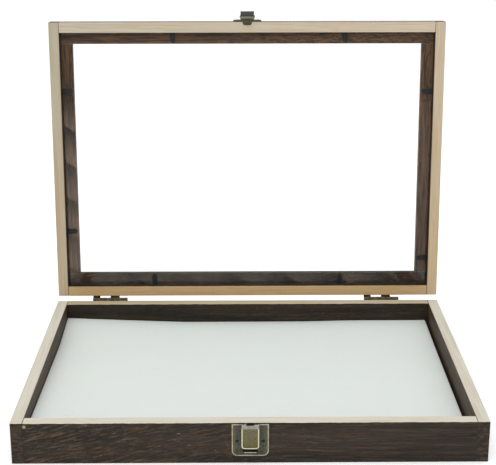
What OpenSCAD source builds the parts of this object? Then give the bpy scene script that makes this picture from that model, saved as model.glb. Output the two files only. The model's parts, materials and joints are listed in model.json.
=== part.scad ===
// Glass-topped wooden display case for coins and small collectibles: a shallow tray
// with a foam pad, and a glazed lid on two back hinges that a sprung clasp holds shut.
// X runs along the front, the front faces -Y, Z is up. The origin is the centre of the
// underside. The lid is drawn open, resting on its hinge stops. Sizes are in millimetres.

/* [Case] */
// Outside width of the case, left to right
case_w = 375; // [300:1:460]
// Outside depth of the case, front to back
case_d = 268; // [200:1:340]
// Height of the tray, underside to rim
tray_h = 35; // [33:1:60]
// Thickness of the tray walls and of the lid rails at the seam
wall = 9.7; // [8.5:0.1:14]
// Angle through which the lid turns from shut to its stop
open_angle = 94.1; // [92:0.1:100]
// Gap left between rim and lid when the case is shut
seam = 0.2; // [0.1:0.05:0.5]

/* [Tray floor and pad] */
// Thickness of the bottom panel
panel_t = 3; // [2:0.5:5]
// How far the bottom panel is let into each wall
panel_let_in = 4.5; // [3:0.5:6]
// Thickness of the foam pad
pad_t = 13.4; // [6:0.2:20]
// Gap between the pad and each wall
pad_gap = 1; // [0.5:0.1:3]

/* [Lid] */
// Depth of the lid rails, seam to outer face
lid_h = 16; // [15:0.5:24]
// Width of the lip that carries the glass
lip_w = 11.2; // [6:0.1:16]
// Thickness of the lip
lip_t = 6; // [4:0.5:7]
// Thickness of the glass
glass_t = 2; // [2:0.5:3]
// Gap between the glass and each rail
glass_gap = 0.5; // [0.3:0.1:1.5]

/* [Glass retainers] */
// Length of a retainer, driven part included
retainer_l = 16; // [14:0.5:18]
// Width of a retainer
retainer_w = 5; // [4:0.2:8]
// Thickness of a retainer
retainer_t = 0.4; // [0.3:0.1:0.6]
// Length of a retainer that stands out over the glass
retainer_out = 11; // [6:0.2:11]

/* [Hinges] */
// Distance from each side of the case in to the middle of its hinge
hinge_in = 53; // [25:1:80]
// Outer diameter of the hinge barrel
barrel_d = 3.4; // [3.2:0.1:3.8]
// Diameter of the hinge pin
hinge_pin_d = 1.6; // [1.4:0.1:1.8]
// Distance of the hinge axis behind the back faces
axis_out = 3.6; // [3.4:0.1:4]
// Thickness of a hinge leaf
leaf_t = 0.8; // [0.6:0.1:1]
// Height of a hinge leaf's flat plate
leaf_h = 11; // [9:0.5:11]

/* [Clasp] */
// Width of the clasp's base plate
plate_w = 29; // [27:0.2:34]
// Height of the clasp's base plate
plate_h = 27.4; // [25.8:0.2:29]
// Thickness of the clasp's plates
plate_t = 0.7; // [0.6:0.05:0.75]
// Width of the lever
lever_w = 13.8; // [13.8:0.1:14.8]
// Length of the lever below its pin
lever_l = 19; // [15:0.5:20.5]
// Width of the catch plate on the lid
catch_w = 26.4; // [26:0.2:34]
// Height of the catch plate on the lid
catch_h = 13.6; // [12.5:0.1:14.5]
// How far the finger hood of the catch stands out from the lid
hood_out = 9.9; // [9:0.1:12]

/* [Hidden] */
$fn = 48;

// Colours
stained = [0.24, 0.19, 0.15];
panel_brown = [0.45, 0.36, 0.27];
pad_white = [0.88, 0.90, 0.87];
old_brass = [0.45, 0.42, 0.30];
bright_steel = [0.70, 0.70, 0.70];
black_steel = [0.06, 0.06, 0.06];

// Case planes
outer_x = case_w / 2;
outer_y = case_d / 2;
inner_x = outer_x - wall;
inner_y = outer_y - wall;
lid_z = tray_h + seam;          // seam face of the shut lid
lip_z = lid_h - lip_t;          // glass side of the lip, above the seam face
hinge_y = outer_y + axis_out;   // hinge axis
hinge_x = outer_x - hinge_in;
glass_z = lip_z - glass_t;      // inner face of the glass, above the seam face
slack = 0.25;                   // bottom panel to rabbet

// Brads in the corners
brad_r = 0.6;
brad_head_r = 1.1;
brad_head_h = 0.8;
brad_l = 26;
tray_brad_z = [9, 26];
lid_brad_z = [4, 11.5];

// Hand-placed retainers on each rail: the place, as a share of half the width or depth
// inside, and the tilt towards the positive axis in degrees
retainers_front = [[-0.400, 2], [0.515, 14]];
retainers_back = [[-0.520, -2], [0.514, 3]];
retainers_left = [[-0.550, 3], [0.563, -2]];
retainers_right = [[-0.540, -3], [0.785, 2]];

// Hinges: knuckle boundaries from the hinge's left end, with lid and tray knuckles in turn
knuckle_at = [0, 7, 17.2, 26.2, 34.3];
hinge_l = knuckle_at[4];
hinge_shift = -1.9;             // moves both hinges along X from even spacing
knuckle_gap = 0.15;
barrel_r = barrel_d / 2;
pin_r = hinge_pin_d / 2;
bore_play = 0.05;
leaf_from = 3;                  // seam line to the flat plate of a leaf
stop_gap = 0.12;
screw_x = 10.5;
screw_r = 1;
screw_head_r = 1.9;
screw_head_h = 0.9;
screw_l = 8;

// Clasp, measured outward from the case's front face and up from the tray's underside
plate_top = tray_h - 0.9;
plate_bottom = plate_top - plate_h;
rim_w = 0.85;
rim_rise = 0.4;
plate_corner = 4.5;
window_half = 5;                // between the ears
recess_half = 6.1;              // below the ears
recess_top = tray_h - 6.8;
window_bottom = plate_bottom + 3.3;
window_top = plate_top - 1.5;
ledge_half = 4.7;
ledge_t = 0.7;
lever_pin_r = 0.75;
pin_out = 2.7;
pin_z = tray_h - 1.8;
roll_r = 1.8;
lever_bore_r = lever_pin_r + bore_play;
ear_r = 1.2;
ear_clear_r = 1.5;
ear_x = window_half;
ear_t = 0.75;
ear_play = 0.3;
cheek_t = 0.8;
panel_back = 3;
panel_front = 3.8;
lever_rim_out = 4.3;
lever_rim_w = 0.9;
lever_corner = 2.4;
lever_bottom = pin_z - lever_l;
slot_half = 3.2;
tongue_out = 0.9;
tongue_t = 0.7;
tongue_half = 3;
tongue_drop = 9.2;              // tip of the tongue below the seam face
nose_z = pin_z - 5;             // underside of the lever's nose
nose_t = 1.2;
nose_half = 1.7;
nail_x = 10.4;
nail_r = 0.65;
nail_l = 7;
nail_head_r = 1.25;
nail_head_h = 0.45;
clasp_nail_z = tray_h - 15.7;
catch_nail_z = 7;
nail_play = 0.2;

// Catch on the lid, measured outward from the front face and up from the seam face
catch_rim_rise = 0.9;
hood_half = 6.4;
hood_under = 3.1;               // underside of the hood's lip
bead_out = 4.2;
bead_up = 2.1;
bead_r = 0.85;
bead_half = 7.2;
web_from = 0.9;
web_to = 1.7;
web_half = 6.2;
tab_half = 4.2;
tab_in = 2.8;
tab_t = 0.6;
tab_corner = 2.2;
tab_play = 0.2;

// Spring wound on the lever's pin
wire_r = 0.17;
coil_r = 1.02;
coil_from = 3.4;
coil_pitch = 0.36;
coil_start = 180;
coil_end = -1147.5;

// ---------------------------------------------------------------- placing

// Draws the lid's parts, which are laid out shut, at the open stop.
module opened() {
    translate([0, hinge_y, tray_h])
        rotate([-open_angle, 0, 0])
            translate([0, -hinge_y, -tray_h])
                children();
}

// Local +Y points out of the front face.
module on_front() {
    translate([0, -outer_y, 0])
        mirror([0, 1, 0])
            children();
}

// Extrudes an outline in (Y, Z) along X, from x0 to x1.
module along_x(x0, x1) {
    translate([x0, 0, 0])
        rotate([90, 0, 90])
            linear_extrude(x1 - x0)
                children();
}

// Extrudes an outline in (X, Z) along +Y, from y0 to y1.
module along_y(y0, y1) {
    translate([0, y1, 0])
        rotate([90, 0, 0])
            linear_extrude(y1 - y0)
                children();
}

// A round bar along X.
module bar_x(r, x0, x1) {
    translate([x0, 0, 0])
        rotate([0, 90, 0])
            cylinder(r = r, h = x1 - x0);
}

// A nail or screw along +Y: the shank runs to depth, the head sits on y = 0 and rises to -Y.
module nail_y(shank_r, head_r, head_h, depth) {
    rotate([-90, 0, 0]) {
        cylinder(r = shank_r, h = depth);
        translate([0, 0, -head_h])
            cylinder(r1 = head_r * 0.7, r2 = head_r, h = head_h);
    }
}

// ---------------------------------------------------------------- tray

module panel_rabbet() {
    reach_x = inner_x + panel_let_in;
    reach_y = inner_y + panel_let_in;
    translate([-reach_x, -reach_y, -1])
        cube([2 * reach_x, 2 * reach_y, panel_t + 1]);
}

// A side wall runs the full depth of the case. side is -1 for left and 1 for right.
module tray_side_wall(side) {
    color(stained)
        difference() {
            translate([side < 0 ? -outer_x : inner_x, -outer_y, 0])
                cube([wall, case_d, tray_h]);
            panel_rabbet();
        }
}

// The front and back walls butt between the side walls. side is -1 for front and 1 for back.
module tray_cross_wall(side) {
    color(stained)
        difference() {
            translate([-inner_x, side < 0 ? -outer_y : inner_y, 0])
                cube([2 * inner_x, wall, tray_h]);
            panel_rabbet();
        }
}

module tray_left_wall() { tray_side_wall(-1); }
module tray_right_wall() { tray_side_wall(1); }
module tray_front_wall() { tray_cross_wall(-1); }
module tray_back_wall() { tray_cross_wall(1); }

module tray_bottom_panel() {
    half_x = inner_x + panel_let_in - slack;
    half_y = inner_y + panel_let_in - slack;
    color(panel_brown)
        translate([-half_x, -half_y, 0])
            cube([2 * half_x, 2 * half_y, panel_t]);
}

module display_pad() {
    half_x = inner_x - pad_gap;
    half_y = inner_y - pad_gap;
    color(pad_white)
        translate([-half_x, -half_y, panel_t])
            cube([2 * half_x, 2 * half_y, pad_t]);
}

// Brads through the side pieces into the ends of the cross pieces, at the given heights.
module corner_brads(heights) {
    color(bright_steel)
        for (sx = [-1, 1], sy = [-1, 1], z = heights)
            translate([sx * outer_x, sy * (outer_y - wall / 2), z])
                rotate([0, -sx * 90, 0]) {
                    cylinder(r = brad_r, h = brad_l);
                    cylinder(r1 = brad_head_r, r2 = brad_r, h = brad_head_h);
                }
}

module tray_corner_brads() { corner_brads(tray_brad_z); }

// ---------------------------------------------------------------- hinges

// The bent arm that joins a leaf's plate to its knuckles, in (distance behind the
// back face, height from the hinge axis), for the leaf below the axis.
module knuckle_arm_outline() {
    polygon([
        [0, -leaf_from - 1.4], [leaf_t, -leaf_from - 1.4], [leaf_t, -leaf_from - 0.9],
        [axis_out + 0.3, -barrel_r + 0.1], [axis_out, 0],
        [axis_out - barrel_r + 0.05, -0.3], [0, -leaf_from - 0.1]
    ]);
}

// One leaf below the hinge axis, in the frame of the hinge's left end at the back face.
// first is 0 for the knuckles that start at the left end, 1 for the others.
module hinge_leaf(first) {
    difference() {
        union() {
            translate([0, 0, -leaf_from - leaf_h])
                cube([hinge_l, leaf_t, leaf_h]);
            for (i = [first, first + 2]) {
                x0 = knuckle_at[i] + knuckle_gap / 2;
                x1 = knuckle_at[i + 1] - knuckle_gap / 2;
                along_x(x0, x1) knuckle_arm_outline();
                translate([0, axis_out, 0]) bar_x(barrel_r, x0, x1);
            }
        }
        translate([0, axis_out, 0])
            bar_x(pin_r + bore_play, -1, hinge_l + 1);
        for (x = [-1, 1])
            translate([hinge_l / 2 + x * screw_x, -1, -leaf_from - leaf_h / 2])
                rotate([-90, 0, 0])
                    cylinder(r = screw_r + 0.15, h = leaf_t + 2);
    }
}

// The lug that meets the tray leaf's plate at the open stop, drawn at the open stop.
module stop_lug(x0, x1) {
    face = -axis_out + leaf_t + stop_gap;
    difference() {
        along_x(x0, x1)
            translate([axis_out, 0])
                polygon([
                    [0.4, -barrel_r + 0.2], [-barrel_r + 0.2, -0.4], [face, -leaf_from],
                    [face, -leaf_from - 1.5], [face + 1, -leaf_from - 1.5]
                ]);
        translate([0, axis_out, 0])
            bar_x(pin_r + bore_play, x0 - 1, x1 + 1);
    }
}

module tray_leaf(side) {
    color(old_brass)
        translate([side * hinge_x + hinge_shift - hinge_l / 2, outer_y, tray_h])
            hinge_leaf(1);
}

module lid_leaf(side) {
    color(old_brass)
        opened()
            translate([side * hinge_x + hinge_shift - hinge_l / 2, outer_y, tray_h]) {
                mirror([0, 0, 1]) hinge_leaf(0);
                for (i = [0, 2])
                    translate([0, axis_out, 0])
                        rotate([open_angle, 0, 0])
                            translate([0, -axis_out, 0])
                                stop_lug(knuckle_at[i] + 1.5, knuckle_at[i + 1] - 1.5);
            }
}

module hinge_pin(side) {
    color(bright_steel)
        translate([side * hinge_x + hinge_shift - hinge_l / 2, hinge_y, tray_h])
            bar_x(pin_r, 0, hinge_l);
}

// Two round-head screws for each hinge, through its plate at the given height.
module leaf_screws(z) {
    for (side = [-1, 1], x = [-1, 1])
        translate([side * hinge_x + hinge_shift + x * screw_x, outer_y + leaf_t, z])
            rotate([0, 0, 180])
                nail_y(screw_r, screw_head_r, screw_head_h, screw_l);
}

module left_hinge_tray_leaf() { tray_leaf(-1); }
module right_hinge_tray_leaf() { tray_leaf(1); }
module left_hinge_lid_leaf() { lid_leaf(-1); }
module right_hinge_lid_leaf() { lid_leaf(1); }
module left_hinge_pin() { hinge_pin(-1); }
module right_hinge_pin() { hinge_pin(1); }
module hinge_tray_screws() { color(old_brass) leaf_screws(tray_h - leaf_from - leaf_h / 2); }
module hinge_lid_screws() {
    color(old_brass) opened() leaf_screws(tray_h + leaf_from + leaf_h / 2);
}

// ---------------------------------------------------------------- clasp on the tray

// An upright plate outline, w wide from z0 to z1, with two corners rounded to r:
// the lower ones, or the upper ones where top is true.
module tag_outline(w, z0, z1, r, top = false) {
    zr = top ? z1 - r : z0 + r;
    union() {
        translate([-w / 2, top ? z0 : zr]) square([w, z1 - z0 - r]);
        translate([-w / 2 + r, z0]) square([w - 2 * r, z1 - z0]);
        for (x = [-1, 1])
            translate([x * (w / 2 - r), zr]) circle(r = r);
    }
}

module clasp_base_plate() {
    color(old_brass)
        on_front()
            difference() {
                union() {
                    along_y(0, plate_t)
                        tag_outline(plate_w, plate_bottom, plate_top, plate_corner);
                    along_y(0, plate_t + rim_rise)
                        difference() {
                            tag_outline(plate_w, plate_bottom, plate_top, plate_corner);
                            tag_outline(plate_w - 2 * rim_w, plate_bottom + rim_w,
                                        plate_top - rim_w, plate_corner - rim_w);
                            translate([-lever_w / 2 - 0.4, plate_top - 2])
                                square([lever_w + 0.8, 3]);
                        }
                    // the ledge folded out at the foot of the window
                    translate([-ledge_half, 0, window_bottom - ledge_t])
                        cube([2 * ledge_half, plate_t + ledge_t, ledge_t]);
                    // the ears that carry the lever's pin
                    for (x = [-ear_x - ear_t, ear_x])
                        hull() {
                            translate([0, pin_out, pin_z]) bar_x(ear_r, x, x + ear_t, $fn = 32);
                            translate([x, 0, pin_z - 4]) cube([ear_t, plate_t, 3.6]);
                        }
                }
                translate([-window_half, -1, window_bottom])
                    cube([2 * window_half, plate_t + 1, window_top - window_bottom]);
                translate([-recess_half, -1, window_bottom])
                    cube([2 * recess_half, plate_t + 1, recess_top - window_bottom]);
                translate([0, pin_out, pin_z])
                    bar_x(lever_pin_r, -plate_w / 2, plate_w / 2);
                for (x = [-nail_x, nail_x])
                    translate([x, -1, clasp_nail_z])
                        rotate([-90, 0, 0])
                            cylinder(r = nail_r + nail_play, h = plate_t + 2);
            }
}

module clasp_lever_pin() {
    color(bright_steel)
        on_front()
            translate([0, pin_out, pin_z])
                bar_x(lever_pin_r, -lever_w / 2 + 0.1, lever_w / 2 - 0.1);
}

// A sector of the rolled top about the pin, in (out, z), between two angles
// measured from straight out and turning upwards.
module roll_sector(r0, r1, from_angle, to_angle) {
    steps = 6;
    reach = 2 * r1;
    difference() {
        intersection() {
            circle(r = r1);
            polygon(concat([[0, 0]], [
                for (i = [0:steps])
                    let (a = from_angle + (to_angle - from_angle) * i / steps)
                        [reach * cos(a), reach * sin(a)]
            ]));
        }
        circle(r = r0);
    }
}

// The lever: a dished front panel with a raised border, two cheeks, and a rolled top
// that turns on the pin. Its nose reaches into the window of the catch's tongue.
module clasp_lever() {
    cheek_x = lever_w / 2 - cheek_t;
    ear_gap_x = ear_x - ear_play / 2;
    color(old_brass)
        on_front()
            difference() {
                union() {
                    along_y(panel_back, panel_front)
                        tag_outline(lever_w, lever_bottom, pin_z - 0.5, lever_corner);
                    along_y(panel_back, lever_rim_out)
                        difference() {
                            tag_outline(lever_w, lever_bottom, pin_z - 0.5, lever_corner);
                            tag_outline(lever_w - 2 * lever_rim_w, lever_bottom + lever_rim_w,
                                        pin_z - roll_r, lever_corner - lever_rim_w);
                        }
                    for (x = [-lever_w / 2, cheek_x])
                        translate([x, plate_t + 0.1, lever_bottom + lever_corner])
                            cube([cheek_t, panel_back, lever_l - lever_corner]);
                    for (x = [-lever_w / 2, cheek_x])
                        translate([0, pin_out, pin_z]) bar_x(roll_r, x, x + cheek_t);
                    // one full knuckle inside the left ear
                    translate([0, pin_out, pin_z])
                        bar_x(roll_r, -ear_gap_x, -slot_half);
                    // the rest of the roll is a shell, open behind for the catch's tongue
                    translate([0, pin_out, pin_z]) {
                        along_x(-slot_half - 0.1, slot_half)
                            roll_sector(lever_bore_r, roll_r, -90, 35);
                        along_x(slot_half - 0.1, ear_gap_x)
                            roll_sector(ear_clear_r - 0.1, roll_r, -60, 62);
                        for (x = [-cheek_x - 0.1, ear_gap_x - 0.1])
                            along_x(x, x + cheek_x - ear_gap_x + 0.2)
                                roll_sector(ear_clear_r, roll_r, -50, 55);
                    }
                    translate([-nose_half, plate_t - 0.1, nose_z])
                        cube([2 * nose_half, panel_back - plate_t + 0.2, nose_t]);
                }
                translate([0, pin_out, pin_z]) {
                    bar_x(lever_bore_r, -lever_w, lever_w);
                    for (x = [-cheek_x, ear_gap_x])
                        bar_x(ear_clear_r, x, x + cheek_x - ear_gap_x);
                    bar_x(ear_clear_r - 0.1, slot_half, ear_gap_x);
                }
            }
}

// Points of the spring's wire: a leg that rests in the plate's window, the coil on the
// pin, and a leg that presses the panel from behind. a turns from out, upwards.
function coil_point(a) = [
    coil_from + coil_pitch * (coil_start - a) / 360,
    pin_out + coil_r * cos(a),
    pin_z + coil_r * sin(a)
];
coil_last_x = coil_point(coil_end)[0];
spring_path = concat(
    [[coil_from, wire_r + 0.03, pin_z - 7], [coil_from, wire_r + 0.03, pin_z - 3.6],
     [coil_from, pin_out - coil_r - 0.2, pin_z - 1]],
    [for (a = [coil_start:-22.5:coil_end]) coil_point(a)],
    [[coil_last_x, panel_back - 0.28, pin_z - 1.6], [coil_last_x, panel_back - 0.28, pin_z - 7]]
);

// A round wire of radius r along the points of path, as one closed skin.
module wire(path, r, sides = 8) {
    n = len(path);
    function unit(v) = v / norm(v);
    function tangent(i) = unit(path[min(i + 1, n - 1)] - path[max(i - 1, 0)]);
    function normal(i) = unit(cross(tangent(i), [1, 0, 0]));
    points = [
        for (i = [0:n - 1], k = [0:sides - 1])
            let (a = 360 * k / sides)
                path[i] + r * (cos(a) * normal(i) + sin(a) * cross(tangent(i), normal(i)))
    ];
    skin = [
        for (i = [0:n - 2], k = [0:sides - 1])
            let (k1 = (k + 1) % sides)
                [i * sides + k, i * sides + k1, (i + 1) * sides + k1, (i + 1) * sides + k]
    ];
    caps = [
        [for (k = [sides - 1:-1:0]) k],
        [for (k = [0:sides - 1]) (n - 1) * sides + k]
    ];
    polyhedron(points = points, faces = concat(skin, caps));
}

module clasp_spring() {
    color(bright_steel) on_front() wire(spring_path, wire_r);
}

module clasp_nails() {
    color(old_brass)
        for (x = [-nail_x, nail_x])
            translate([x, -outer_y - plate_t, clasp_nail_z])
                nail_y(nail_r, nail_head_r, nail_head_h, nail_l + plate_t);
}

// ---------------------------------------------------------------- lid

// The outline of a rail, in (distance in from the case's outer face, height above the seam).
module rail_outline() {
    polygon([
        [0, 0], [wall, 0], [wall, lip_z], [wall + lip_w, lip_z], [wall + lip_w, lid_h], [0, lid_h]
    ]);
}

// A side rail runs the full depth of the case; its lip stops at the cross rails' lips.
module lid_side_rail(side) {
    lip_end = inner_y - lip_w;
    color(stained)
        opened()
            difference() {
                translate([0, outer_y, lid_z])
                    mirror([side < 0 ? 0 : 1, 0, 0])
                        translate([-outer_x, 0, 0])
                            rotate([90, 0, 0])
                                linear_extrude(case_d)
                                    rail_outline();
                for (s = [-1, 1])
                    translate([side < 0 ? -inner_x : inner_x - lip_w - 1,
                               s < 0 ? -outer_y - 1 : lip_end, lid_z - 1])
                        cube([lip_w + 1, outer_y - lip_end + 1, lid_h + 2]);
            }
}

// The front and back rails butt between the side rails.
module lid_cross_rail(side) {
    color(stained)
        opened()
            difference() {
                translate([0, 0, lid_z])
                    mirror([0, side < 0 ? 0 : 1, 0])
                        translate([0, -outer_y, 0])
                            along_x(-inner_x, inner_x)
                                rail_outline();
                if (side < 0)
                    // the shallow seat of the catch's folded tab
                    on_front()
                        translate([0, 0, lid_z - 1])
                            linear_extrude(1 + tab_t + tab_play)
                                offset(tab_play)
                                    tab_outline();
            }
}

module lid_left_rail() { lid_side_rail(-1); }
module lid_right_rail() { lid_side_rail(1); }
module lid_front_rail() { lid_cross_rail(-1); }
module lid_back_rail() { lid_cross_rail(1); }

module lid_glass() {
    half_x = inner_x - glass_gap;
    half_y = inner_y - glass_gap;
    color([0.85, 0.93, 0.93, 0.35])
        opened()
            translate([-half_x, -half_y, lid_z + glass_z])
                cube([2 * half_x, 2 * half_y, glass_t]);
}

// A flat pointed retainer: it starts in the rail at x < 0 and lies over the glass to its point.
module retainer() {
    driven = retainer_l - retainer_out;
    point = retainer_w * 0.55;
    linear_extrude(retainer_t)
        polygon([
            [-driven, -retainer_w / 2], [retainer_out - point, -retainer_w / 2],
            [retainer_out, 0],
            [retainer_out - point, retainer_w / 2], [-driven, retainer_w / 2]
        ]);
}

module glass_retainers() {
    z = lid_z + glass_z - retainer_t - 0.15;
    color(black_steel)
        opened() {
            for (at = retainers_front)
                translate([at[0] * inner_x, -inner_y, z]) rotate(90 - at[1]) retainer();
            for (at = retainers_back)
                translate([at[0] * inner_x, inner_y, z]) rotate(-90 + at[1]) retainer();
            for (at = retainers_left)
                translate([-inner_x, at[0] * inner_y, z]) rotate(at[1]) retainer();
            for (at = retainers_right)
                translate([inner_x, at[0] * inner_y, z]) rotate(180 - at[1]) retainer();
        }
}

module lid_corner_brads() {
    opened() translate([0, 0, lid_z]) corner_brads(lid_brad_z);
}

// The tab folded under the lid's rail, in (X, distance out of the front face).
module tab_outline() {
    tag_outline(2 * tab_half, -tab_in, plate_t, tab_corner);
}

// The hood's section, in (out, up): a slope from the plate to a lip turned back in.
module hood_outline() {
    polygon([
        [0, 11.6], [1.2, 11.2], [hood_out - 0.5, 4.9], [hood_out, 4.3],
        [hood_out, hood_under + 0.4], [hood_out - 0.4, hood_under],
        [5.3, hood_under], [5.3, hood_under + 0.8], [hood_out - 1.2, hood_under + 0.8],
        [1.1, 10.2], [0, 10.2]
    ]);
}

// The catch: a plate on the lid's front, a finger hood that stands out over the clasp with
// a bead below it, a tongue that drops behind the lever's pin, and a tab under the rail.
module catch_plate() {
    color(old_brass)
        opened()
            translate([0, 0, lid_z])
                on_front() {
                    difference() {
                        union() {
                            along_y(0, plate_t)
                                tag_outline(catch_w, 0, catch_h, plate_corner, true);
                            along_y(0, plate_t + catch_rim_rise)
                                difference() {
                                    tag_outline(catch_w, 0, catch_h, plate_corner, true);
                                    tag_outline(catch_w - 2 * rim_w, rim_w, catch_h - rim_w,
                                                plate_corner - rim_w, true);
                                }
                            along_x(-hood_half, hood_half) hood_outline();
                            // the bead under the hood, and the fold that joins the two
                            translate([0, bead_out, bead_up])
                                bar_x(bead_r, -bead_half, bead_half);
                            along_x(-bead_half, bead_half)
                                polygon([
                                    [bead_out, bead_up + 0.6], [bead_out + 0.8, bead_up],
                                    [6, hood_under - 0.2], [6, hood_under + 0.8],
                                    [bead_out + 0.6, hood_under + 0.8]
                                ]);
                            // the web from the plate to the bead
                            along_x(-web_half, web_half)
                                polygon([
                                    [0, web_from], [bead_out - 0.5, web_from],
                                    [bead_out, bead_up - 0.4], [bead_out - 0.4, bead_up],
                                    [bead_out - 1, web_to], [0, web_to]
                                ]);
                            along_y(tongue_out, tongue_out + tongue_t)
                                tag_outline(2 * tongue_half, -tongue_drop, web_to, 2.2);
                        }
                        for (x = [-nail_x, nail_x])
                            translate([x, -1, catch_nail_z])
                                rotate([-90, 0, 0])
                                    cylinder(r = nail_r + nail_play, h = plate_t + 2);
                        // the tongue's window, which the lever's nose enters
                        translate([-nose_half - 0.3, 0, nose_z - lid_z - 0.4])
                            cube([2 * nose_half + 0.6, 3, nose_t + 0.8]);
                    }
                    translate([0, 0, tab_play / 4])
                        linear_extrude(tab_t)
                            tab_outline();
                }
}

module catch_nails() {
    color(old_brass)
        opened()
            for (x = [-nail_x, nail_x])
                translate([x, -outer_y - plate_t, lid_z + catch_nail_z])
                    nail_y(nail_r, nail_head_r, nail_head_h, nail_l + plate_t);
}

// ---------------------------------------------------------------- drawing

tray_left_wall();
tray_right_wall();
tray_front_wall();
tray_back_wall();
tray_bottom_panel();
display_pad();
tray_corner_brads();
left_hinge_tray_leaf();
right_hinge_tray_leaf();
left_hinge_pin();
right_hinge_pin();
hinge_tray_screws();
clasp_base_plate();
clasp_lever_pin();
clasp_spring();
clasp_nails();
clasp_lever();
lid_left_rail();
lid_right_rail();
lid_front_rail();
lid_back_rail();
lid_glass();
glass_retainers();
lid_corner_brads();
left_hinge_lid_leaf();
right_hinge_lid_leaf();
hinge_lid_screws();
catch_plate();
catch_nails();
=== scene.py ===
"""The looks of a glass-topped wooden display case, open on its hinges: stained wood with
bare seam faces, a soft white pad, clear glass and aged brass hardware, in studio light."""

import json
import math

import bmesh
import bpy
from mathutils import Matrix, Vector, noise

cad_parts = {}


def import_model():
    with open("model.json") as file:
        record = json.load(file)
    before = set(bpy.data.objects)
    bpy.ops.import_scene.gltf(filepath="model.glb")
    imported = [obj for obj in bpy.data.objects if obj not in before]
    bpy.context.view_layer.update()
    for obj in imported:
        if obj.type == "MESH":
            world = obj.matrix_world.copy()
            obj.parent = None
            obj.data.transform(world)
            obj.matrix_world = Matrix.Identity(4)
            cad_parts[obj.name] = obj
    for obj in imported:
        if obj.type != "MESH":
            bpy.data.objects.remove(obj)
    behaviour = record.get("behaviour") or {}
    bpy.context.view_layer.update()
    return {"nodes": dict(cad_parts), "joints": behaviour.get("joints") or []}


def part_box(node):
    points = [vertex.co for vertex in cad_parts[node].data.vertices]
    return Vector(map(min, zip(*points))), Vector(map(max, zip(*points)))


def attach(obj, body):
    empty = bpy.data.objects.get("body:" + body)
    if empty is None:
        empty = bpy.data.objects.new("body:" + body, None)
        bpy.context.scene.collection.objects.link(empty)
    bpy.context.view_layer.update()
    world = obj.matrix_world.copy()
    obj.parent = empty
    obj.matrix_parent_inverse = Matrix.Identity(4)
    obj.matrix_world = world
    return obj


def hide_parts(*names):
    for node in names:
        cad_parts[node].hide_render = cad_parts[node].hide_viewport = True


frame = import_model()

MM = 0.001
NODES = frame["nodes"]

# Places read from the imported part, in metres.
TRAY_LO, TRAY_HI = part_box("tray_left_wall")
RIM_Z = TRAY_HI.z
OUTER_X = -TRAY_LO.x
OUTER_Y = -TRAY_LO.y
INNER_X = -TRAY_HI.x
WALL = OUTER_X - INNER_X
INNER_Y = OUTER_Y - WALL
PAD_LO, PAD_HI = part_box("display_pad")
LEVER_LO, LEVER_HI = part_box("clasp_lever")

# Turning the lid's points by OPEN_ANGLE about its hinge shuts it. SEAM_Z and LIP_FACE_Z are
# heights on the shut case, and CATCH_REACH is how far the catch stands out from its front.
# FACE_SLACK is how far a face may be from where a material looks for it.
LID_HINGE = next(j for j in frame["joints"] if j["name"] == "lid_hinge")
HINGE_AT = tuple(LID_HINGE["pos_m"])
OPEN_ANGLE = math.radians(LID_HINGE["range_deg"][1])
SEAM_Z = RIM_Z + 0.2 * MM
LIP_FACE_Z = SEAM_Z + 10 * MM
FACE_SLACK = 0.3 * MM
CATCH_REACH = 9.9 * MM


# ------------------------------------------------------------------ shader trees


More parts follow.
